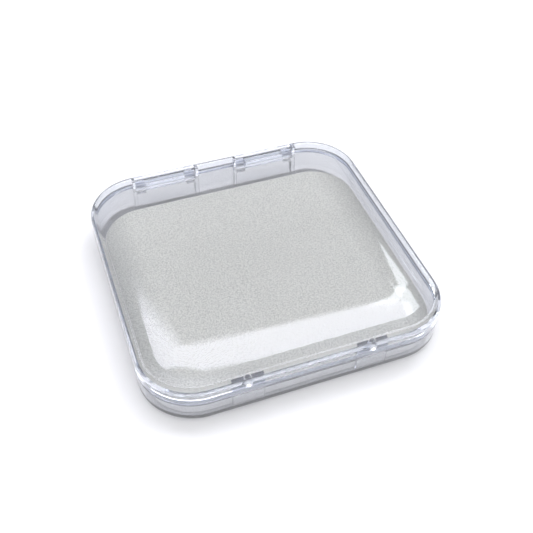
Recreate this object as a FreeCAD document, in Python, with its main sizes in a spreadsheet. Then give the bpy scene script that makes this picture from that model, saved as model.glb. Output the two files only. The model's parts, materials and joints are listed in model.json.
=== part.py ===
import FreeCAD, Part
import math
import os
import Sketcher

# Wet palette: a clear hinged box with a damp sponge and a sheet of palette paper.
# X runs along the hinge, +Y points to the hinge side, +Z is up.
# The origin is the middle of the underside of the tray. Sizes in millimetres.

SIZES = (
    ("box_width", 100.0, "outside width along the hinge"),
    ("box_depth", 100.0, "outside depth, front wall to back wall"),
    ("corner_radius", 18.0, "outside corner radius in plan"),
    ("base_height", 8.4, "height of the tray up to the parting line"),
    ("lid_height", 6.1, "height of the lid from the parting line to its flat border"),
    ("base_wall", 1.6, "tray wall"),
    ("lid_wall", 1.4, "lid wall"),
    ("floor_thickness", 1.5, "tray floor"),
    ("roof_thickness", 1.4, "lid top"),
    ("bottom_round", 2.4, "rounded lower edge of the tray"),
    ("top_round", 2.4, "rounded upper edge of the lid"),
    ("cavity_bevel", 1.0, "bevelled inner foot of the tray wall"),
    ("parting_gap", 0.1, "gap between tray and lid"),
    ("parting_bevel", 0.3, "bevelled outer edges of tray and lid at the parting line"),
    ("lip_height", 1.8, "raised inner lip of the tray"),
    ("lip_thickness", 0.75, "thickness of the lip"),
    ("lip_clearance", 0.15, "gap between the lip and the lid skirt"),
    ("panel_inset", 6.0, "flat border round the raised lid panel"),
    ("panel_rise", 1.5, "rise of the domed panel above the border"),
    ("hinge_spacing", 39.0, "distance between the two hinge pockets"),
    ("pocket_width", 22.5, "hinge pocket in the back wall"),
    ("pocket_depth", 2.4, "depth of the hinge pocket"),
    ("housing_wall", 1.2, "wall round the hinge pocket"),
    ("hinge_offset", 0.3, "hinge axis behind the back wall"),
    ("knuckle_radius", 1.9, "outside of the hinge knuckles"),
    ("knuckle_width", 15.0, "middle knuckle on the lid"),
    ("knuckle_gap", 0.3, "side gap between knuckles"),
    ("pin_radius", 0.6, "hinge pin"),
    ("pin_press", 0.02, "radial gap of the pin in the lid knuckle"),
    ("pin_running", 0.06, "radial gap of the pin in the tray ears"),
    ("pin_snap", 0.1, "how far the clip mouth is narrower than the pin on each side"),
    ("catch_spacing", 40.0, "distance between the two front catches"),
    ("catch_width", 10.0, "catch tongue"),
    ("catch_thickness", 1.1, "thickness of the catch tongue"),
    ("catch_rise", 4.4, "catch tongue above the parting line"),
    ("nub_radius", 1.35, "round nub on the lid that clicks into the catch"),
    ("nub_drop", 1.2, "nub centre below the top of the tongue"),
    ("nub_clearance", 0.15, "gap round the nub"),
    ("nub_snap", 0.15, "how far the catch mouth is narrower than the nub on each side"),
    ("sponge_thickness", 3.5, "wet sponge"),
    ("sponge_gap", 0.3, "gap between the sponge and the wall foot or the catch tongues"),
    ("sponge_strip", 5.4, "bare strip of floor between the sponge and the hinge housings"),
    ("paper_margin", 0.4, "palette paper cut smaller than the sponge on each side"),
    ("paper_thickness", 0.2, "palette paper"),
)

SIDES = (("left", -1), ("right", 1))

doc = FreeCAD.newDocument("wet_palette")
sheet = doc.addObject("Spreadsheet::Sheet", "Sizes")
size = {}
for row, (alias, number, meaning) in enumerate(SIZES, start=1):
    sheet.set(f"A{row}", meaning)
    sheet.set(f"B{row}", str(number))
    sheet.setAlias(f"B{row}", alias)
    size[alias] = number
doc.recompute()

# Places that several pieces share, as expressions on the sheet.
WIDTH = "Sizes.box_width"
DEPTH = "Sizes.box_depth"
PARTING = "Sizes.base_height"
LID_FOOT = "(Sizes.base_height + Sizes.parting_gap)"
LID_TOP = "(Sizes.base_height + Sizes.lid_height)"
SKIRT = "(Sizes.base_wall - Sizes.lip_thickness - Sizes.lip_clearance)"
POCKET_FACE = "(Sizes.box_depth / 2 - Sizes.pocket_depth)"
HOUSING_FACE = "(Sizes.box_depth / 2 - Sizes.pocket_depth - Sizes.housing_wall)"
AXIS_Y = "(Sizes.box_depth / 2 + Sizes.hinge_offset)"
AXIS_Z = "(Sizes.base_height + Sizes.parting_gap / 2)"
CATCH_TOP = "(Sizes.base_height + Sizes.catch_rise)"
NUB_Z = "(Sizes.base_height + Sizes.catch_rise - Sizes.nub_drop)"
FRONT_FACE = "(Sizes.box_depth / 2 - Sizes.base_wall)"
WALL_FOOT = "(Sizes.base_wall + Sizes.cavity_bevel + Sizes.sponge_gap)"
SPONGE_WIDTH = f"(Sizes.box_width - 2 * {WALL_FOOT})"
SPONGE_RADIUS = f"(Sizes.corner_radius - {WALL_FOOT})"
SPONGE_FRONT = f"({FRONT_FACE} - max(Sizes.catch_thickness; Sizes.cavity_bevel) - Sizes.sponge_gap)"
SPONGE_BACK = f"({HOUSING_FACE} - Sizes.sponge_strip)"
SPONGE_DEPTH = f"({SPONGE_FRONT} + {SPONGE_BACK})"
SPONGE_MIDDLE = f"(({SPONGE_FRONT} - {SPONGE_BACK}) / 2)"

# Start sizes of sketch outlines before their constraints pull them into place.
START_HALF = 40.0
START_CORNER = 10.0
ORIGIN = (-1, 1)
UP = FreeCAD.Vector(0, 0, 1)


def new_body(label):
    """An empty body whose label names its file."""
    body = doc.addObject("PartDesign::Body", label)
    body.Label = label
    return body


def new_sketch(body, name, role="XY_Plane", offset="0"):
    """A sketch on one of the body's origin planes, moved along the plane's normal."""
    sketch = body.newObject("Sketcher::SketchObject", name)
    plane = next(item for item in body.Origin.OriginFeatures if item.Role == role)
    sketch.AttachmentSupport = [(plane, "")]
    sketch.MapMode = "FlatFace"
    sketch.setExpression("AttachmentOffset.Base.z", offset)
    return sketch


def measured(sketch, kind, places):
    """Present value of a dimension of the sketch."""
    if kind == "Radius":
        return sketch.Geometry[places[0]].Radius
    span = sketch.getPoint(*places[2:]) - sketch.getPoint(*places[:2])
    return span.x if kind == "DistanceX" else span.y


def bind(sketch, kind, places, expression):
    """Add a dimension at its present value and bind it to the sheet."""
    value = measured(sketch, kind, places)
    index = sketch.addConstraint(Sketcher.Constraint(kind, *places, value))
    sketch.setExpression(f"Constraints[{index}]", expression)


def bind_from_axis(sketch, kind, side, point, expression):
    """Distance of a point from an axis of the sketch, on its positive or negative side."""
    places = ORIGIN + point if side > 0 else point + ORIGIN
    bind(sketch, kind, places, expression)


def rounded_rectangle(sketch, width, depth, radius, back_shift=None):
    """Rounded rectangle centred on the Y axis of the sketch."""
    inner = START_HALF - START_CORNER
    arcs = []
    lines = []
    for quarter, (side_x, side_y) in enumerate(((1, 1), (-1, 1), (-1, -1), (1, -1))):
        circle = Part.Circle(FreeCAD.Vector(side_x * inner, side_y * inner, 0), UP, START_CORNER)
        turn = math.pi / 2
        arcs.append(sketch.addGeometry(Part.ArcOfCircle(circle, quarter * turn, (quarter + 1) * turn)))
    for quarter in range(4):
        start = sketch.getPoint(arcs[quarter], 2)
        end = sketch.getPoint(arcs[(quarter + 1) % 4], 1)
        lines.append(sketch.addGeometry(Part.LineSegment(start, end)))
    for quarter in range(4):
        after = arcs[(quarter + 1) % 4]
        direction = "Horizontal" if quarter % 2 == 0 else "Vertical"
        sketch.addConstraint(Sketcher.Constraint("Tangent", arcs[quarter], 2, lines[quarter], 1))
        sketch.addConstraint(Sketcher.Constraint("Tangent", lines[quarter], 2, after, 1))
        sketch.addConstraint(Sketcher.Constraint(direction, lines[quarter]))
        if quarter:
            sketch.addConstraint(Sketcher.Constraint("Equal", arcs[0], arcs[quarter]))
    bind(sketch, "Radius", (arcs[0],), radius)
    bind(sketch, "DistanceX", (arcs[2], 3, arcs[0], 3), f"{width} - 2 * {radius}")
    bind(sketch, "DistanceY", (arcs[2], 3, arcs[0], 3), f"{depth} - 2 * {radius}")
    bind(sketch, "DistanceX", (arcs[2], 3) + ORIGIN, f"{width} / 2 - {radius}")
    shift = back_shift or "0"
    bind(sketch, "DistanceY", (arcs[2], 3) + ORIGIN, f"{depth} / 2 - {radius} + {shift}")


def side_rectangle(sketch, side_x, side_y, near_x, far_x, near_y, far_y):
    """Rectangle in one quarter of the sketch, given by its distances from the two axes."""
    low, high = START_HALF / 2, START_HALF
    corners = [
        FreeCAD.Vector(side_x * x, side_y * y, 0)
        for x, y in ((low, low), (high, low), (high, high), (low, high))
    ]
    lines = []
    for index in range(4):
        edge = Part.LineSegment(corners[index], corners[(index + 1) % 4])
        lines.append(sketch.addGeometry(edge))
    for index in range(4):
        after = lines[(index + 1) % 4]
        direction = "Horizontal" if index % 2 == 0 else "Vertical"
        sketch.addConstraint(Sketcher.Constraint("Coincident", lines[index], 2, after, 1))
        sketch.addConstraint(Sketcher.Constraint(direction, lines[index]))
    near = (lines[0], 1)
    far = (lines[1], 2)
    bind_from_axis(sketch, "DistanceX", side_x, near, near_x)
    bind_from_axis(sketch, "DistanceX", side_x, far, far_x)
    bind_from_axis(sketch, "DistanceY", side_y, near, near_y)
    bind_from_axis(sketch, "DistanceY", side_y, far, far_y)


def circle_outline(sketch, side_x, across, up, radius):
    """Circle at a distance from the two axes of the sketch."""
    centre = FreeCAD.Vector(side_x * START_HALF, START_HALF / 2, 0)
    ring = sketch.addGeometry(Part.Circle(centre, UP, START_CORNER / 2))
    bind_from_axis(sketch, "DistanceX", side_x, (ring, 3), across)
    bind_from_axis(sketch, "DistanceY", 1, (ring, 3), up)
    bind(sketch, "Radius", (ring,), radius)


def knuckle_outline(sketch, web_side):
    """Round knuckle on the hinge axis with a web to the pocket face, below or above the axis."""
    axis = FreeCAD.Vector(
        size["box_depth"] / 2 + size["hinge_offset"],
        size["base_height"] + size["parting_gap"] / 2,
        0,
    )
    radius = size["knuckle_radius"]
    wall = size["box_depth"] / 2 - size["pocket_depth"]
    tangent = axis + FreeCAD.Vector(0, web_side * radius, 0)
    level = axis - FreeCAD.Vector(radius, 0, 0)
    circle = Part.Circle(axis, UP, radius)
    if web_side < 0:
        turn = (-math.pi / 2, math.pi)
        at_tangent, at_level = 1, 2
    else:
        turn = (math.pi, 5 * math.pi / 2)
        at_tangent, at_level = 2, 1
    arc = sketch.addGeometry(Part.ArcOfCircle(circle, *turn))
    web_foot = FreeCAD.Vector(wall, tangent.y, 0)
    web_head = FreeCAD.Vector(wall, level.y, 0)
    outer = sketch.addGeometry(Part.LineSegment(tangent, web_foot))
    wall_line = sketch.addGeometry(Part.LineSegment(web_foot, web_head))
    inner = sketch.addGeometry(Part.LineSegment(web_head, level))
    for rule in (
        ("Tangent", arc, at_tangent, outer, 1),
        ("Coincident", outer, 2, wall_line, 1),
        ("Coincident", wall_line, 2, inner, 1),
        ("Coincident", inner, 2, arc, at_level),
        ("Horizontal", outer),
        ("Vertical", wall_line),
        ("Horizontal", inner),
        ("Horizontal", arc, at_level, arc, 3),
    ):
        sketch.addConstraint(Sketcher.Constraint(*rule))
    bind_from_axis(sketch, "DistanceX", 1, (arc, 3), AXIS_Y)
    bind_from_axis(sketch, "DistanceY", 1, (arc, 3), AXIS_Z)
    bind(sketch, "Radius", (arc,), "Sizes.knuckle_radius")
    bind_from_axis(sketch, "DistanceX", 1, (wall_line, 1), POCKET_FACE)


def extrude(body, sketch, kind, length, reverse=False):
    """Pad or pocket of a sketch; refuses one that leaves the body's volume as it was."""
    doc.recompute()
    before = body.Shape.Volume if body.Tip else 0.0
    feature = body.newObject(f"PartDesign::{kind}", f"{sketch.Name}_{kind.lower()}")
    feature.Profile = sketch
    feature.Type = 0
    feature.Reversed = reverse
    feature.setExpression("Length", length)
    doc.recompute()
    if abs(body.Shape.Volume - before) < 1e-3:
        raise RuntimeError(f"{feature.Name} changes nothing")
    return feature


def dress_plane_edges(body, base, kind, height, inset, amount):
    """Fillet or chamfer the edges that lie at one height and reach out to a given half width."""
    names = []
    for index, edge in enumerate(base.Shape.Edges, start=1):
        box = edge.BoundBox
        flat = abs(box.ZMin - height) < 1e-4 and abs(box.ZMax - height) < 1e-4
        reach = max(abs(box.XMin), abs(box.XMax), abs(box.YMin), abs(box.YMax))
        if flat and reach > inset:
            names.append(f"Edge{index}")
    feature = body.newObject(f"PartDesign::{kind}", f"{base.Name}_{kind.lower()}")
    feature.Base = (base, names)
    feature.setExpression("Radius" if kind == "Fillet" else "Size", amount)
    doc.recompute()
    return feature


def hinge_edge(side, half):
    """X of a point of the hinge, half a width towards -X from the middle of its pocket."""
    return f"{side} * Sizes.hinge_spacing / 2 - {half}"


def pocket_pair(sketch, extra, near_y, far_y):
    """One rectangle at each hinge pocket, wider than the pocket by an extra on each side."""
    near_x = f"Sizes.hinge_spacing / 2 - Sizes.pocket_width / 2 - {extra}"
    far_x = f"Sizes.hinge_spacing / 2 + Sizes.pocket_width / 2 + {extra}"
    for _, side in SIDES:
        side_rectangle(sketch, side, 1, near_x, far_x, near_y, far_y)


def hinge_bore(body, name, side, gap):
    """Bore through the knuckles of one hinge, with a gap round the pin."""
    sketch = new_sketch(body, f"{name}_bore", "YZ_Plane", hinge_edge(side, "Sizes.pocket_width / 2"))
    circle_outline(sketch, 1, AXIS_Y, AXIS_Z, f"Sizes.pin_radius + {gap}")
    return extrude(body, sketch, "Pocket", "Sizes.pocket_width", reverse=True)


def make_base_tray():
    """Lower half of the box: walls, lip, hinge ears and catch tongues in one moulding."""
    body = new_body("base_tray")
    outside = new_sketch(body, "tray_outside")
    rounded_rectangle(outside, WIDTH, DEPTH, "Sizes.corner_radius")
    shell = extrude(body, outside, "Pad", PARTING)
    inner_reach = min(size["box_width"], size["box_depth"]) / 2 - size["base_wall"]
    rounded = dress_plane_edges(body, shell, "Fillet", 0.0, inner_reach, "Sizes.bottom_round")
    parting = size["base_height"]
    dress_plane_edges(body, rounded, "Chamfer", parting, inner_reach, "Sizes.parting_bevel")

    cavity = new_sketch(body, "tray_cavity", offset=PARTING)
    inside = ("Sizes.box_width - 2 * Sizes.base_wall", "Sizes.box_depth - 2 * Sizes.base_wall")
    inside_radius = "(Sizes.corner_radius - Sizes.base_wall)"
    rounded_rectangle(cavity, f"({inside[0]})", f"({inside[1]})", inside_radius)
    hollow = extrude(body, cavity, "Pocket", "Sizes.base_height - Sizes.floor_thickness")
    floor_reach = inner_reach - size["corner_radius"] - size["base_wall"]
    floor = size["floor_thickness"]
    dress_plane_edges(body, hollow, "Chamfer", floor, floor_reach, "Sizes.cavity_bevel")

    lip = new_sketch(body, "tray_lip", offset=PARTING)
    lip_out = [f"({span} + 2 * Sizes.lip_thickness)" for span in inside]
    rounded_rectangle(lip, *lip_out, f"({inside_radius} + Sizes.lip_thickness)")
    rounded_rectangle(lip, f"({inside[0]})", f"({inside[1]})", inside_radius)
    extrude(body, lip, "Pad", "Sizes.lip_height")
    lip_break = new_sketch(body, "lip_break", offset=PARTING)
    around = "(Sizes.housing_wall + Sizes.lip_clearance)"
    pocket_pair(lip_break, around, HOUSING_FACE, f"{DEPTH} / 2")
    extrude(body, lip_break, "Pocket", "Sizes.lip_height", reverse=True)

    housing = new_sketch(body, "tray_housing")
    pocket_pair(housing, "Sizes.housing_wall", HOUSING_FACE, FRONT_FACE)
    housing.setExpression("AttachmentOffset.Base.z", "Sizes.floor_thickness / 2")
    extrude(body, housing, "Pad", "Sizes.base_height - Sizes.floor_thickness / 2")
    recess = new_sketch(body, "tray_recess")
    pocket_pair(recess, "0", POCKET_FACE, f"{DEPTH} / 2 + 1")
    extrude(body, recess, "Pocket", PARTING, reverse=True)

    ear_width = "(Sizes.pocket_width - Sizes.knuckle_width - 2 * Sizes.knuckle_gap) / 2"
    for name, side in SIDES:
        starts = (
            hinge_edge(side, "Sizes.pocket_width / 2"),
            hinge_edge(side, "(-Sizes.knuckle_width / 2 - Sizes.knuckle_gap)"),
        )
        for place, start in zip(("near", "far"), starts):
            ear = new_sketch(body, f"tray_{name}_{place}_ear", "YZ_Plane", start)
            knuckle_outline(ear, -1)
            extrude(body, ear, "Pad", ear_width)
        hinge_bore(body, f"tray_{name}", side, "Sizes.pin_running")
        mouth = new_sketch(
            body, f"tray_{name}_mouth", "YZ_Plane", hinge_edge(side, "Sizes.pocket_width / 2")
        )
        half_mouth = "(Sizes.pin_radius - Sizes.pin_snap)"
        side_rectangle(
            mouth, 1, 1, AXIS_Y, f"{AXIS_Y} + 2 * Sizes.knuckle_radius",
            f"{AXIS_Z} - {half_mouth}", f"{AXIS_Z} + {half_mouth}",
        )
        extrude(body, mouth, "Pocket", "Sizes.pocket_width", reverse=True)

    tongue = new_sketch(body, "catch_tongue", offset="Sizes.floor_thickness / 2")
    for _, side in SIDES:
        side_rectangle(
            tongue, side, -1,
            "Sizes.catch_spacing / 2 - Sizes.catch_width / 2",
            "Sizes.catch_spacing / 2 + Sizes.catch_width / 2",
            f"{FRONT_FACE} - Sizes.catch_thickness", FRONT_FACE,
        )
    extrude(body, tongue, "Pad", f"{CATCH_TOP} - Sizes.floor_thickness / 2")
    seat = new_sketch(body, "catch_seat", "XZ_Plane", f"{FRONT_FACE} - 2 * Sizes.catch_thickness")
    for _, side in SIDES:
        circle_outline(
            seat, side, "Sizes.catch_spacing / 2", NUB_Z, "Sizes.nub_radius + Sizes.nub_clearance"
        )
    through = "2 * Sizes.catch_thickness + Sizes.base_wall"
    extrude(body, seat, "Pocket", through, reverse=True)
    mouth = new_sketch(body, "catch_mouth", "XZ_Plane", f"{FRONT_FACE} - 2 * Sizes.catch_thickness")
    half_mouth = "(Sizes.nub_radius - Sizes.nub_snap)"
    for _, side in SIDES:
        side_rectangle(
            mouth, side, 1,
            f"Sizes.catch_spacing / 2 - {half_mouth}", f"Sizes.catch_spacing / 2 + {half_mouth}",
            NUB_Z, f"{CATCH_TOP} + 1",
        )
    extrude(body, mouth, "Pocket", through, reverse=True)
    return body


def dome_arc(sketch, side, across):
    """Arc of the lid panel, level at the crown and sloping down to the crease."""
    reach = size["corner_radius"] - size["panel_inset"]
    rise = size["panel_rise"]
    radius = (reach**2 + rise**2) / (2 * rise)
    height = size["base_height"] + size["lid_height"] + rise - radius
    circle = Part.Circle(FreeCAD.Vector(side * across, height, 0), UP, radius)
    level = math.pi / 2
    slope = math.asin(reach / radius)
    turn = (level - slope, level) if side > 0 else (level, level + slope)
    return sketch.addGeometry(Part.ArcOfCircle(circle, *turn))


def dome_heights(drop):
    """Crease and crown of the panel, lowered by a drop from the outer face of the lid."""
    crease = f"{LID_TOP} - {drop}"
    return crease, f"{crease} + Sizes.panel_rise"


def dome_profile(sketch, span, drop):
    """Section through the whole panel: two arcs and the flat between them."""
    across = size[span] / 2 - size["corner_radius"]
    right = dome_arc(sketch, 1, across)
    left = dome_arc(sketch, -1, across)
    crown_edge = Part.LineSegment(sketch.getPoint(right, 2), sketch.getPoint(left, 1))
    foot_edge = Part.LineSegment(sketch.getPoint(left, 2), sketch.getPoint(right, 1))
    crown = sketch.addGeometry(crown_edge)
    foot = sketch.addGeometry(foot_edge)
    for rule in (
        ("Coincident", right, 2, crown, 1),
        ("Coincident", crown, 2, left, 1),
        ("Coincident", left, 2, foot, 1),
        ("Coincident", foot, 2, right, 1),
        ("Horizontal", crown),
        ("Horizontal", foot),
        ("Vertical", right, 3, right, 2),
        ("Vertical", left, 3, left, 1),
    ):
        sketch.addConstraint(Sketcher.Constraint(*rule))
    flat_end = f"Sizes.{span} / 2 - Sizes.corner_radius"
    crease = f"Sizes.{span} / 2 - Sizes.panel_inset"
    for side, arc, at_crown, at_crease in ((1, right, 2, 1), (-1, left, 1, 2)):
        bind_from_axis(sketch, "DistanceX", side, (arc, at_crown), flat_end)
        bind_from_axis(sketch, "DistanceX", side, (arc, at_crease), crease)
    crease_height, crown_height = dome_heights(drop)
    bind_from_axis(sketch, "DistanceY", 1, (foot, 1), crease_height)
    bind_from_axis(sketch, "DistanceY", 1, (crown, 1), crown_height)


def dome_corner(body, name, kind, side_x, side_y, drop):
    """Round corner of the panel, turned about an upright axis."""
    centre_x = f"{side_x} * (Sizes.box_width / 2 - Sizes.corner_radius)"
    centre_y = f"{-side_y} * (Sizes.box_depth / 2 - Sizes.corner_radius)"
    sketch = new_sketch(body, name, "XZ_Plane", centre_y)
    sketch.setExpression("AttachmentOffset.Base.x", centre_x)
    arc = dome_arc(sketch, 1, 0.0)
    middle = FreeCAD.Vector(0, sketch.getPoint(arc, 1).y, 0)
    axis = sketch.addGeometry(Part.LineSegment(sketch.getPoint(arc, 2), middle))
    foot = sketch.addGeometry(Part.LineSegment(middle, sketch.getPoint(arc, 1)))
    for rule in (
        ("Coincident", arc, 2, axis, 1),
        ("Coincident", axis, 2, foot, 1),
        ("Coincident", foot, 2, arc, 1),
        ("Horizontal", foot),
        ("PointOnObject", axis, 1, -2),
        ("PointOnObject", axis, 2, -2),
        ("PointOnObject", arc, 3, -2),
    ):
        sketch.addConstraint(Sketcher.Constraint(*rule))
    crease_height, crown_height = dome_heights(drop)
    bind_from_axis(sketch, "DistanceX", 1, (arc, 1), "Sizes.corner_radius - Sizes.panel_inset")
    bind_from_axis(sketch, "DistanceY", 1, (axis, 2), crease_height)
    bind_from_axis(sketch, "DistanceY", 1, (axis, 1), crown_height)
    feature = body.newObject(f"PartDesign::{kind}", f"{name}_turned")
    feature.Profile = sketch
    feature.ReferenceAxis = (sketch, ["V_Axis"])
    feature.Angle = 360
    doc.recompute()


def make_dome(body, name, cut, drop):
    """Pillow-shaped panel of the lid: two crossed bars and four round corners."""
    kind, turned = ("Pocket", "Groove") if cut else ("Pad", "Revolution")
    for place, plane, span, along in (
        ("across", "XZ_Plane", "box_width", "box_depth"),
        ("along", "YZ_Plane", "box_depth", "box_width"),
    ):
        length = f"(Sizes.{along} - 2 * Sizes.corner_radius)"
        bar = new_sketch(body, f"{name}_{place}", plane, f"-{length} / 2")
        dome_profile(bar, span, drop)
        extrude(body, bar, kind, length, reverse=cut)
    for index, (side_x, side_y) in enumerate(((1, 1), (-1, 1), (-1, -1), (1, -1))):
        dome_corner(body, f"{name}_corner_{index}", turned, side_x, side_y, drop)


def make_lid():
    """Upper half of the box: domed top, skirt, hinge knuckles and catch nubs in one moulding."""
    body = new_body("lid")
    outside = new_sketch(body, "lid_outside", offset=LID_FOOT)
    rounded_rectangle(outside, WIDTH, DEPTH, "Sizes.corner_radius")
    shell = extrude(body, outside, "Pad", "Sizes.lid_height - Sizes.parting_gap")
    reach = min(size["box_width"], size["box_depth"]) / 2 - size["lid_wall"]
    top = size["base_height"] + size["lid_height"]
    rounded = dress_plane_edges(body, shell, "Fillet", top, reach, "Sizes.top_round")
    foot = size["base_height"] + size["parting_gap"]
    dress_plane_edges(body, rounded, "Chamfer", foot, reach, "Sizes.parting_bevel")

    cavity = new_sketch(body, "lid_cavity", offset=LID_FOOT)
    rounded_rectangle(
        cavity, f"({WIDTH} - 2 * Sizes.lid_wall)", f"({DEPTH} - 2 * Sizes.lid_wall)",
        "(Sizes.corner_radius - Sizes.lid_wall)",
    )
    depth = "Sizes.lid_height - Sizes.parting_gap - Sizes.roof_thickness"
    extrude(body, cavity, "Pocket", depth, reverse=True)
    rebate = new_sketch(body, "lid_rebate", offset=LID_FOOT)
    rounded_rectangle(
        rebate, f"({WIDTH} - 2 * {SKIRT})", f"({DEPTH} - 2 * {SKIRT})",
        f"(Sizes.corner_radius - {SKIRT})",
    )
    extrude(body, rebate, "Pocket", "Sizes.lip_height + Sizes.lip_clearance", reverse=True)

    make_dome(body, "panel_outer", False, "0")
    make_dome(body, "panel_inner", True, "Sizes.roof_thickness")

    housing = new_sketch(body, "lid_housing", offset=LID_FOOT)
    pocket_pair(housing, "Sizes.housing_wall", HOUSING_FACE, f"{DEPTH} / 2 - {SKIRT}")
    inner_height = "Sizes.lid_height - Sizes.parting_gap - Sizes.roof_thickness"
    extrude(body, housing, "Pad", inner_height)
    recess = new_sketch(body, "lid_recess", offset=LID_FOOT)
    pocket_pair(recess, "Sizes.knuckle_gap", POCKET_FACE, f"{DEPTH} / 2 + 1")
    extrude(body, recess, "Pocket", inner_height, reverse=True)

    for name, side in SIDES:
        knuckle = new_sketch(
            body, f"lid_{name}_knuckle", "YZ_Plane", hinge_edge(side, "Sizes.knuckle_width / 2")
        )
        knuckle_outline(knuckle, 1)
        extrude(body, knuckle, "Pad", "Sizes.knuckle_width")
        hinge_bore(body, f"lid_{name}", side, "Sizes.pin_press")

    nub = new_sketch(body, "catch_nub", "XZ_Plane", f"{FRONT_FACE} - Sizes.catch_thickness")
    for _, side in SIDES:
        circle_outline(nub, side, "Sizes.catch_spacing / 2", NUB_Z, "Sizes.nub_radius")
    reach_wall = "Sizes.catch_thickness + Sizes.base_wall - Sizes.lid_wall / 2"
    extrude(body, nub, "Pad", reach_wall)
    return body


def make_hinge_pin(name, side):
    """Plain pin through the lid knuckle and both tray ears of one hinge."""
    body = new_body(f"hinge_pin_{name}")
    start = hinge_edge(side, "Sizes.pocket_width / 2 + Sizes.knuckle_gap")
    sketch = new_sketch(body, f"pin_{name}", "YZ_Plane", start)
    circle_outline(sketch, 1, AXIS_Y, AXIS_Z, "Sizes.pin_radius")
    extrude(body, sketch, "Pad", "Sizes.pocket_width - 2 * Sizes.knuckle_gap")
    return body


def make_sponge():
    """Flat wet sponge on the tray floor, pushed to the front."""
    body = new_body("sponge")
    sketch = new_sketch(body, "sponge_outline", offset="Sizes.floor_thickness")
    rounded_rectangle(sketch, SPONGE_WIDTH, SPONGE_DEPTH, SPONGE_RADIUS, SPONGE_MIDDLE)
    extrude(body, sketch, "Pad", "Sizes.sponge_thickness")
    return body


def make_palette_paper():
    """Sheet of palette paper that lies on the sponge."""
    body = new_body("palette_paper")
    sketch = new_sketch(body, "paper_outline", offset="Sizes.floor_thickness + Sizes.sponge_thickness")
    rounded_rectangle(
        sketch,
        f"({SPONGE_WIDTH} - 2 * Sizes.paper_margin)",
        f"({SPONGE_DEPTH} - 2 * Sizes.paper_margin)",
        f"({SPONGE_RADIUS} - Sizes.paper_margin)",
        SPONGE_MIDDLE,
    )
    extrude(body, sketch, "Pad", "Sizes.paper_thickness")
    return body


pieces = [make_base_tray(), make_lid()]
pieces += [make_hinge_pin(name, side) for name, side in SIDES]
pieces += [make_sponge(), make_palette_paper()]
doc.recompute()

for item in doc.Objects:
    if "Invalid" in item.State or "Error" in item.State:
        raise RuntimeError(f"{item.Name} failed: {item.State}")
for piece in pieces:
    if piece.Shape.isNull() or not piece.Shape.isValid() or len(piece.Shape.Solids) != 1:
        raise RuntimeError(f"{piece.Label} is not one valid solid")

os.makedirs("parts", exist_ok=True)
for piece in pieces:
    piece.Shape.exportStep(f"parts/{piece.Label}.step")
    box = piece.Shape.BoundBox
    print(piece.Label, "volume", round(piece.Shape.Volume, 1), "z", round(box.ZMin, 2), round(box.ZMax, 2))
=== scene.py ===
import json
import math

import bmesh
import bpy
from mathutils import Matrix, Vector, noise

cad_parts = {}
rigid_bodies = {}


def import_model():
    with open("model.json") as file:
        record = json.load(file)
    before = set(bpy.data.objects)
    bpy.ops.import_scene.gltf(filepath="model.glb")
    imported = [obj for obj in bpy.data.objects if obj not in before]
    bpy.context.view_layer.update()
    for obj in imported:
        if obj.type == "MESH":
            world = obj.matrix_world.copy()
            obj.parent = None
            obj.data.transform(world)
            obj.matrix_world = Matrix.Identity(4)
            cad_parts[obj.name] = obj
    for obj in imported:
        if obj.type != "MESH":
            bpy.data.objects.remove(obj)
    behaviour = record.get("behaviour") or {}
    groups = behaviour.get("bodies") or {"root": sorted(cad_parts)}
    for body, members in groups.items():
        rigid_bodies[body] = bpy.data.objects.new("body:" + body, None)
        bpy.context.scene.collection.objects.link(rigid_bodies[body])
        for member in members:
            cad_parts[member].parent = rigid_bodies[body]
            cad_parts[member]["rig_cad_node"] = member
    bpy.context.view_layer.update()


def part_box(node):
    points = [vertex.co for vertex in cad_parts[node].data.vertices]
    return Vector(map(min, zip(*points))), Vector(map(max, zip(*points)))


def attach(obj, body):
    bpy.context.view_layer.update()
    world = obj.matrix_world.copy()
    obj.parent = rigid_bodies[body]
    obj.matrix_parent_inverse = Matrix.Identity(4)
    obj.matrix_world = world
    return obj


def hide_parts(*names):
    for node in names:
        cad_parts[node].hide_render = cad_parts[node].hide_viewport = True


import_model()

# Wet palette in a clear hinged box: damp sponge and palette paper under a domed lid.
# Everything is in metres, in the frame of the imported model: +Z up, +Y towards the hinges.

MM = 0.001

# Camera found from the outline of the box in the photograph
CAMERA_PLACE = Vector((-61.35, -170.4, 197.5)) * MM
CAMERA_TURN = tuple(math.radians(angle) for angle in (43.21, -0.79, -19.96))
CAMERA_SENSOR = 36.0
CAMERA_LENS = 51.75
CAMERA_NEAREST = 10 * MM

# Light runs along clear walls by many inner reflections before it leaves
MOST_BOUNCES = 48
CLEAR_BOUNCES = 40

# Studio windows on a ceiling one unit above the box. The sides run along a turned direction.
# Each side is given by the place where its soft edge is dark and the place where it is bright.
WINDOWS = (
    {"turn": 0.55, "near": (0.24, 0.29), "far": (0.81, 0.66), "left": (-0.88, -0.83),
     "right": (0.56, 0.46), "level": 4.0, "colour": (0.905, 0.90, 1.0, 1.0)},
    {"turn": 1.0, "near": (0.80, 0.95), "far": (2.20, 2.05), "left": (-0.08, -0.04),
     "right": (0.13, 0.09), "level": 4.2, "colour": (0.92, 0.965, 1.0, 1.0)},
    {"turn": 0.2, "near": (0.19, 0.25), "far": (1.00, 0.88), "left": (0.47, 0.51),
     "right": (0.80, 0.75), "level": 4.2, "colour": (0.92, 0.965, 1.0, 1.0)},
)
LOWEST_WINDOW = (0.2, 0.3)
FLATTEST_DIRECTION = 0.05

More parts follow.
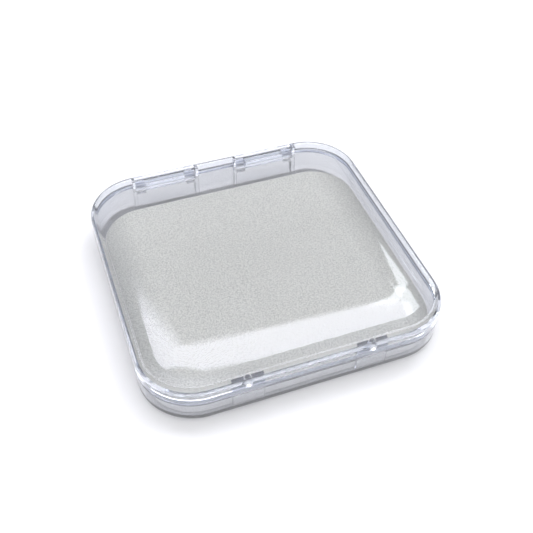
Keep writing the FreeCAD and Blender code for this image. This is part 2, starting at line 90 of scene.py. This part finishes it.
# Room round the windows: brighter in front, and lifted low down at the back so that it meets the floor
ROOM_FRONT = 1.50
ROOM_BACK = 0.62
HORIZON_LIFT = 0.48
HORIZON_HEIGHT = (0.17, 0.08)
HORIZON_BACK = (0.0, 0.9)
ROOM_COLOURS = (
    (0.0, (1.0, 1.02, 1.10, 1.0)),
    (0.45, (1.05, 1.05, 1.06, 1.0)),
    (0.72, (0.86, 0.86, 0.87, 1.0)),
    (1.0, (0.86, 0.86, 0.87, 1.0)),
)

# Colours of the clear plastic by height: a faint tint, with painted shade that makes the walls deeper
# and the tray's thin lip a dark blue-grey line
BOX_HEIGHT = 16 * MM
# Walls: the plastic's faint blue tint, made deeper as painted shade
WALL_TINT_AND_SHADE = (0.92, 0.93, 0.955, 1.0)
TRAY_TINTS_AND_SHADE = (
    (1.2 * MM, (0.985, 0.985, 1.0, 1.0)),
    (2.4 * MM, WALL_TINT_AND_SHADE),
    (8.4 * MM, WALL_TINT_AND_SHADE),
    # Painted shade: a dark blue-grey line along the tray's thin lip
    (8.7 * MM, (0.64, 0.68, 0.79, 1.0)),
)
LID_TINTS_AND_SHADE = (
    (12.6 * MM, WALL_TINT_AND_SHADE),
    (14.4 * MM, (1.0, 1.0, 0.99, 1.0)),
)

# Steps of the soft slabs, how far their rings reach towards the middle, and how fine their relief is
EDGE_STEPS = 4
CORNER_STEPS = 12
TOP_RINGS = 40
TOP_REACH = 0.98
RELIEF_PER_METRE = 45.0

# Table, a little under the box so that their faces do not share a plane
FLOOR_REACH = 3.0
FLOOR_LEVEL = -0.3 * MM


# Node helpers

def new_material(name):
    """An empty node material with its shader."""
    material = bpy.data.materials.new(name)
    material.use_nodes = True
    nodes = material.node_tree.nodes
    shader = nodes["Principled BSDF"]
    return material, nodes, material.node_tree.links, shader


def place_coordinates(nodes, links, stretch=(1.0, 1.0, 1.0)):
    """Object coordinates in metres, stretched along the axes."""
    source = nodes.new("ShaderNodeTexCoord")
    mapping = nodes.new("ShaderNodeMapping")
    mapping.inputs["Scale"].default_value = stretch
    links.new(source.outputs["Object"], mapping.inputs["Vector"])
    return mapping.outputs["Vector"]


def separate(nodes, links, coordinates):
    """The X, Y and Z of coordinates."""
    split = nodes.new("ShaderNodeSeparateXYZ")
    links.new(coordinates, split.inputs["Vector"])
    return split.outputs["X"], split.outputs["Y"], split.outputs["Z"]


def noise_texture(nodes, links, coordinates, per_metre, detail, rough=0.5):
    """Noise with a given number of features per metre."""
    texture = nodes.new("ShaderNodeTexNoise")
    texture.inputs["Scale"].default_value = per_metre
    texture.inputs["Detail"].default_value = detail
    texture.inputs["Roughness"].default_value = rough
    links.new(coordinates, texture.inputs["Vector"])
    return texture.outputs["Fac"]


def cell_texture(nodes, links, coordinates, per_metre):
    """Distance to the middle of small cells, a given number per metre."""
    texture = nodes.new("ShaderNodeTexVoronoi")
    texture.inputs["Scale"].default_value = per_metre
    links.new(coordinates, texture.inputs["Vector"])
    return texture.outputs["Distance"]


def value_range(nodes, links, source, start, end, low=0.0, high=1.0):
    """Map a value from start and end to low and high."""
    mapper = nodes.new("ShaderNodeMapRange")
    mapper.inputs["From Min"].default_value = start
    mapper.inputs["From Max"].default_value = end
    mapper.inputs["To Min"].default_value = low
    mapper.inputs["To Max"].default_value = high
    links.new(source, mapper.inputs["Value"])
    return mapper.outputs["Result"]


def colour_ramp(nodes, links, source, stops):
    """Colours along a value."""
    ramp = nodes.new("ShaderNodeValToRGB")
    ramp.color_ramp.elements[0].position, ramp.color_ramp.elements[0].color = stops[0]
    ramp.color_ramp.elements[1].position, ramp.color_ramp.elements[1].color = stops[-1]
    for position, colour in stops[1:-1]:
        ramp.color_ramp.elements.new(position).color = colour
    links.new(source, ramp.inputs["Fac"])
    return ramp.outputs["Color"]


def multiply_colours(nodes, links, first, second):
    """Product of two colours."""
    mix = nodes.new("ShaderNodeMix")
    mix.data_type = "RGBA"
    mix.blend_type = "MULTIPLY"
    mix.inputs["Factor"].default_value = 1.0
    links.new(first, mix.inputs["A"])
    links.new(second, mix.inputs["B"])
    return mix.outputs["Result"]


def bump(nodes, links, height, distance, strength, below=None):
    """Bump in metres on top of an earlier bump."""
    node = nodes.new("ShaderNodeBump")
    node.inputs["Strength"].default_value = strength
    node.inputs["Distance"].default_value = distance
    links.new(height, node.inputs["Height"])
    if below is not None:
        links.new(below, node.inputs["Normal"])
    return node.outputs["Normal"]


# Materials

def clear_plastic(name, tints_and_shade, haze, depth_colour, depth_density):
    """Moulded clear plastic, a little cloudy, with faint flow waves and handling marks.

    Its colour is given by height. A faint tint is painted deeper in the walls and deepest in the
    tray's thin lip, as painted shade for where light runs along the plastic; the flats of the lid and
    the tray stay clearer.
    The depth colour and density darken it where light runs a long way through it.
    """
    material, nodes, links, shader = new_material(name)
    height = separate(nodes, links, place_coordinates(nodes, links))[2]
    level = value_range(nodes, links, height, start=0.0, end=BOX_HEIGHT)
    stops = [(tint_height / BOX_HEIGHT, colour) for tint_height, colour in tints_and_shade]
    links.new(colour_ramp(nodes, links, level, stops), shader.inputs["Base Color"])
    shader.inputs["Transmission Weight"].default_value = 1.0 - haze
    shader.inputs["IOR"].default_value = 1.5
    marks_place = place_coordinates(nodes, links, stretch=(1.0, 7.0, 1.0))
    marks = noise_texture(nodes, links, marks_place, per_metre=260, detail=6.0, rough=0.6)
    gloss = value_range(nodes, links, marks, start=0.45, end=0.8, low=0.015, high=0.07)
    links.new(gloss, shader.inputs["Roughness"])
    waves = noise_texture(nodes, links, place_coordinates(nodes, links), per_metre=55, detail=1.0)
    links.new(bump(nodes, links, waves, distance=0.4 * MM, strength=0.06), shader.inputs["Normal"])
    depth = nodes.new("ShaderNodeVolumeAbsorption")
    depth.inputs["Color"].default_value = depth_colour
    depth.inputs["Density"].default_value = depth_density
    links.new(depth.outputs["Volume"], nodes["Material Output"].inputs["Volume"])
    return material


def damp_paper():
    """Thin damp palette paper, pebbled by the grain of the sponge beneath it.

    It is darker towards its left and right sides, painted shade from the walls of the box, and paler
    towards the back, painted light for the pale veil of reflected light over the back.
    """
    material, nodes, links, shader = new_material("damp_paper")
    place = place_coordinates(nodes, links)
    blotch = noise_texture(nodes, links, place, per_metre=60, detail=4.0, rough=0.6)
    grain = noise_texture(nodes, links, place, per_metre=1900, detail=2.0, rough=0.55)
    tone = colour_ramp(nodes, links, blotch, (
        (0.30, (0.905, 0.905, 0.860, 1.0)),
        (0.70, (0.935, 0.935, 0.890, 1.0)),
    ))
    speck = colour_ramp(nodes, links, grain, (
        (0.36, (0.72, 0.72, 0.72, 1.0)),
        (0.58, (1.0, 1.0, 1.0, 1.0)),
    ))
    # Painted shade: darker towards the left and right sides of the sheet, where the walls of the box
    # shade it
    distance = nodes.new("ShaderNodeAttribute")
    distance.attribute_name = "side_distance"
    inward = value_range(nodes, links, distance.outputs["Fac"], start=0.0, end=11 * MM)
    paper_side_shade = colour_ramp(nodes, links, inward, (
        (0.0, (0.82, 0.82, 0.815, 1.0)),
        (0.45, (0.89, 0.89, 0.885, 1.0)),
        (1.0, (1.0, 1.0, 1.0, 1.0)),
    ))
    # Painted light: paler towards the back, for the pale veil of reflected light over the back of the
    # sheet
    backward = value_range(
        nodes, links, separate(nodes, links, place)[1], start=12 * MM, end=40 * MM,
    )
    back_veil_light = colour_ramp(nodes, links, backward, (
        (0.0, (0.92, 0.92, 0.92, 1.0)),
        (1.0, (1.0, 1.0, 1.0, 1.0)),
    ))
    colour = tone
    for shade in (back_veil_light, speck, paper_side_shade):
        colour = multiply_colours(nodes, links, colour, shade)
    links.new(colour, shader.inputs["Base Color"])
    shader.inputs["Roughness"].default_value = 0.6
    shader.inputs["Specular IOR Level"].default_value = 0.12
    cells = cell_texture(nodes, links, place, per_metre=1600)
    pebbles = bump(nodes, links, cells, distance=0.22 * MM, strength=0.8)
    relief = bump(nodes, links, grain, distance=0.15 * MM, strength=0.8, below=pebbles)
    links.new(relief, shader.inputs["Normal"])
    return material


def wet_foam():
    """Fine open-cell foam, darker where the pores are."""
    material, nodes, links, shader = new_material("wet_foam")
    pores = cell_texture(nodes, links, place_coordinates(nodes, links), per_metre=1500)
    tone = colour_ramp(nodes, links, pores, (
        (0.0, (0.76, 0.75, 0.72, 1.0)),
        (0.35, (0.93, 0.92, 0.90, 1.0)),
        (1.0, (0.97, 0.965, 0.94, 1.0)),
    ))
    links.new(tone, shader.inputs["Base Color"])
    shader.inputs["Roughness"].default_value = 0.75
    links.new(bump(nodes, links, pores, distance=0.3 * MM, strength=0.8), shader.inputs["Normal"])
    return material


def pale_floor():
    """Matt white table."""
    material, nodes, links, shader = new_material("pale_floor")
    cloud = noise_texture(nodes, links, place_coordinates(nodes, links), per_metre=6, detail=2.0)
    tone = colour_ramp(nodes, links, cloud, (
        (0.0, (0.86, 0.86, 0.865, 1.0)),
        (1.0, (0.89, 0.89, 0.89, 1.0)),
    ))
    links.new(tone, shader.inputs["Base Color"])
    shader.inputs["Roughness"].default_value = 0.9
    return material


# Pieces

def rounded_outline(low, high, radius, inset):
    """Points of a rounded rectangle, moved inwards by an inset."""
    points = []
    margin = max(radius, inset)
    reach = max(radius - inset, 0.0)
    for turn, (side_x, side_y) in enumerate(((1, 1), (-1, 1), (-1, -1), (1, -1))):
        centre_x = high.x - margin if side_x > 0 else low.x + margin
        centre_y = high.y - margin if side_y > 0 else low.y + margin
        for step in range(CORNER_STEPS + 1):
            angle = math.pi / 2 * (turn + step / CORNER_STEPS)
            points.append((centre_x + reach * math.cos(angle), centre_y + reach * math.sin(angle)))
    return points


def slab_rings(low, high, edge_round):
    """Inset and height of each ring of a slab: up its rounded edge, then in across its top."""
    rings = []
    for step in range(EDGE_STEPS + 1):
        angle = math.pi / 2 * step / EDGE_STEPS
        inset = edge_round * (1 - math.sin(angle))
        rings.append((inset, low.z + edge_round * (1 - math.cos(angle))))
    for inset, height in list(reversed(rings)):
        rings.append((inset, low.z + high.z - height))
    span = min(high.x - low.x, high.y - low.y) / 2
    for step in range(1, TOP_RINGS + 1):
        share = step / TOP_RINGS
        rings.append((edge_round + (TOP_REACH * span - edge_round) * share, high.z))
    return rings


def slab(name, node, radius, edge_round, relief):
    """Soft slab in the space of a node: rounded edges, and a top that is not quite even."""
    low, high = (Vector(corner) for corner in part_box(node))
    mesh = bmesh.new()
    # Distance to the left and right sides, read by the paper's painted shade
    side_distance = mesh.verts.layers.float.new("side_distance")
    loops = []
    for inset, height in slab_rings(low, high, edge_round):
        share = (height - low.z) / (high.z - low.z)
        loop = []
        for x, y in rounded_outline(low, high, radius, inset):
            lift = relief * noise.noise(Vector((x, y, 0.0)) * RELIEF_PER_METRE) * share
            corner = mesh.verts.new((x, y, height + lift))
            corner[side_distance] = min(x - low.x, high.x - x)
            loop.append(corner)
        loops.append(loop)
    for outer, inner in zip(loops[:-1], loops[1:]):
        for index in range(len(inner)):
            after = (index + 1) % len(inner)
            mesh.faces.new((outer[index], outer[after], inner[after], inner[index]))
    mesh.faces.new(loops[-1])
    mesh.faces.new(list(reversed(loops[0])))
    bmesh.ops.recalc_face_normals(mesh, faces=mesh.faces)
    data = bpy.data.meshes.new(name)
    mesh.to_mesh(data)
    mesh.free()
    data.polygons.foreach_set("use_smooth", [True] * len(data.polygons))
    piece = bpy.data.objects.new(name, data)
    bpy.context.collection.objects.link(piece)
    return piece


def node_object(name):
    """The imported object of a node."""
    return next(item for item in bpy.data.objects if item.get("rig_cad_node") == name)


tray_plastic = clear_plastic(
    "tray_plastic", TRAY_TINTS_AND_SHADE, haze=0.15,
    depth_colour=(0.60, 0.61, 0.66, 1.0), depth_density=110.0,
)
lid_plastic = clear_plastic(
    "lid_plastic", LID_TINTS_AND_SHADE, haze=0.012,
    depth_colour=(0.60, 0.66, 0.79, 1.0), depth_density=50.0,
)
for node_name, plastic in (
    ("base_tray", tray_plastic),
    ("lid", lid_plastic),
    ("hinge_pin_left", lid_plastic),
    ("hinge_pin_right", lid_plastic),
):
    for material_slot in node_object(node_name).material_slots:
        material_slot.material = plastic

sponge = slab("wet_sponge", "sponge", radius=15.1 * MM, edge_round=0.6 * MM, relief=0.0)
sponge.data.materials.append(wet_foam())
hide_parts("sponge")
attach(sponge, "tray")

paper = slab(
    "palette_sheet", "palette_paper", radius=14.7 * MM, edge_round=0.08 * MM, relief=0.12 * MM,
)
paper.data.materials.append(damp_paper())
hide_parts("palette_paper")
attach(paper, "tray")


# Stage, lights and camera

floor_corners = ((-1, -1), (1, -1), (1, 1), (-1, 1))
floor_mesh = bpy.data.meshes.new("table")
floor_mesh.from_pydata(
    [(x * FLOOR_REACH, y * FLOOR_REACH, FLOOR_LEVEL) for x, y in floor_corners],
    [], [(0, 1, 2, 3)],
)
table = bpy.data.objects.new("table", floor_mesh)
bpy.context.collection.objects.link(table)
floor_mesh.materials.append(pale_floor())


def studio_world():
    """Soft pale room, brighter in front, with windows that the slopes of the lid reflect."""
    world = bpy.data.worlds.new("studio")
    bpy.context.scene.world = world
    world.use_nodes = True
    nodes = world.node_tree.nodes
    links = world.node_tree.links

    def calculate(operation, *values):
        """Result of an operation on numbers and sockets."""
        node = nodes.new("ShaderNodeMath")
        node.operation = operation
        for socket, value in zip(node.inputs, values):
            if isinstance(value, (int, float)):
                socket.default_value = value
            else:
                links.new(value, socket)
        return node.outputs["Value"]

    def fade(value, dark, bright):
        """Soft step of a value, from 0 at the dark end to 1 at the bright end."""
        node = nodes.new("ShaderNodeMapRange")
        node.interpolation_type = "SMOOTHSTEP"
        node.inputs["From Min"].default_value = dark
        node.inputs["From Max"].default_value = bright
        links.new(value, node.inputs["Value"])
        return node.outputs["Result"]

    def product(*values):
        """Product of numbers and sockets."""
        result = values[0]
        for value in values[1:]:
            result = calculate("MULTIPLY", result, value)
        return result

    direction = nodes.new("ShaderNodeTexCoord")
    right_part, back_part, up_part = separate(nodes, links, direction.outputs["Generated"])
    height = calculate("MAXIMUM", up_part, FLATTEST_DIRECTION)
    across = calculate("DIVIDE", right_part, height)
    back = calculate("DIVIDE", back_part, height)
    above_horizon = fade(up_part, *LOWEST_WINDOW)

    def window(turn, near, far, left, right, level, colour):
        """Light of one window."""
        depth = calculate("MULTIPLY_ADD", across, turn, back)
        length = calculate("MULTIPLY_ADD", back, -turn, across)
        mask = product(
            fade(depth, *near), fade(depth, *far),
            fade(length, *left), fade(length, *right),
            above_horizon,
        )
        panel = nodes.new("ShaderNodeBackground")
        panel.inputs["Color"].default_value = colour
        links.new(calculate("MULTIPLY", mask, level), panel.inputs["Strength"])
        return panel.outputs["Background"]

    room = nodes["Background"]
    links.new(colour_ramp(nodes, links, up_part, ROOM_COLOURS), room.inputs["Color"])
    room_level = value_range(
        nodes, links, back_part, start=-1.0, end=1.0, low=ROOM_FRONT, high=ROOM_BACK,
    )
    near_horizon = fade(up_part, *HORIZON_HEIGHT)
    at_back = fade(back_part, *HORIZON_BACK)
    horizon_level = product(near_horizon, at_back, HORIZON_LIFT)
    links.new(calculate("ADD", room_level, horizon_level), room.inputs["Strength"])
    light = room.outputs["Background"]
    for settings in WINDOWS:
        both = nodes.new("ShaderNodeAddShader")
        links.new(light, both.inputs[0])
        links.new(window(**settings), both.inputs[1])
        light = both.outputs["Shader"]
    links.new(light, nodes["World Output"].inputs["Surface"])


studio_world()

camera_data = bpy.data.cameras.new("photo_camera")
camera_data.sensor_width = CAMERA_SENSOR
camera_data.lens = CAMERA_LENS
camera_data.clip_start = CAMERA_NEAREST
camera = bpy.data.objects.new("photo_camera", camera_data)
camera.location = CAMERA_PLACE
camera.rotation_euler = CAMERA_TURN
bpy.context.collection.objects.link(camera)
bpy.context.scene.camera = camera
bpy.context.scene.view_settings.view_transform = "Standard"

bounces = bpy.context.scene.cycles
bounces.max_bounces = MOST_BOUNCES
bounces.glossy_bounces = CLEAR_BOUNCES
bounces.transmission_bounces = CLEAR_BOUNCES
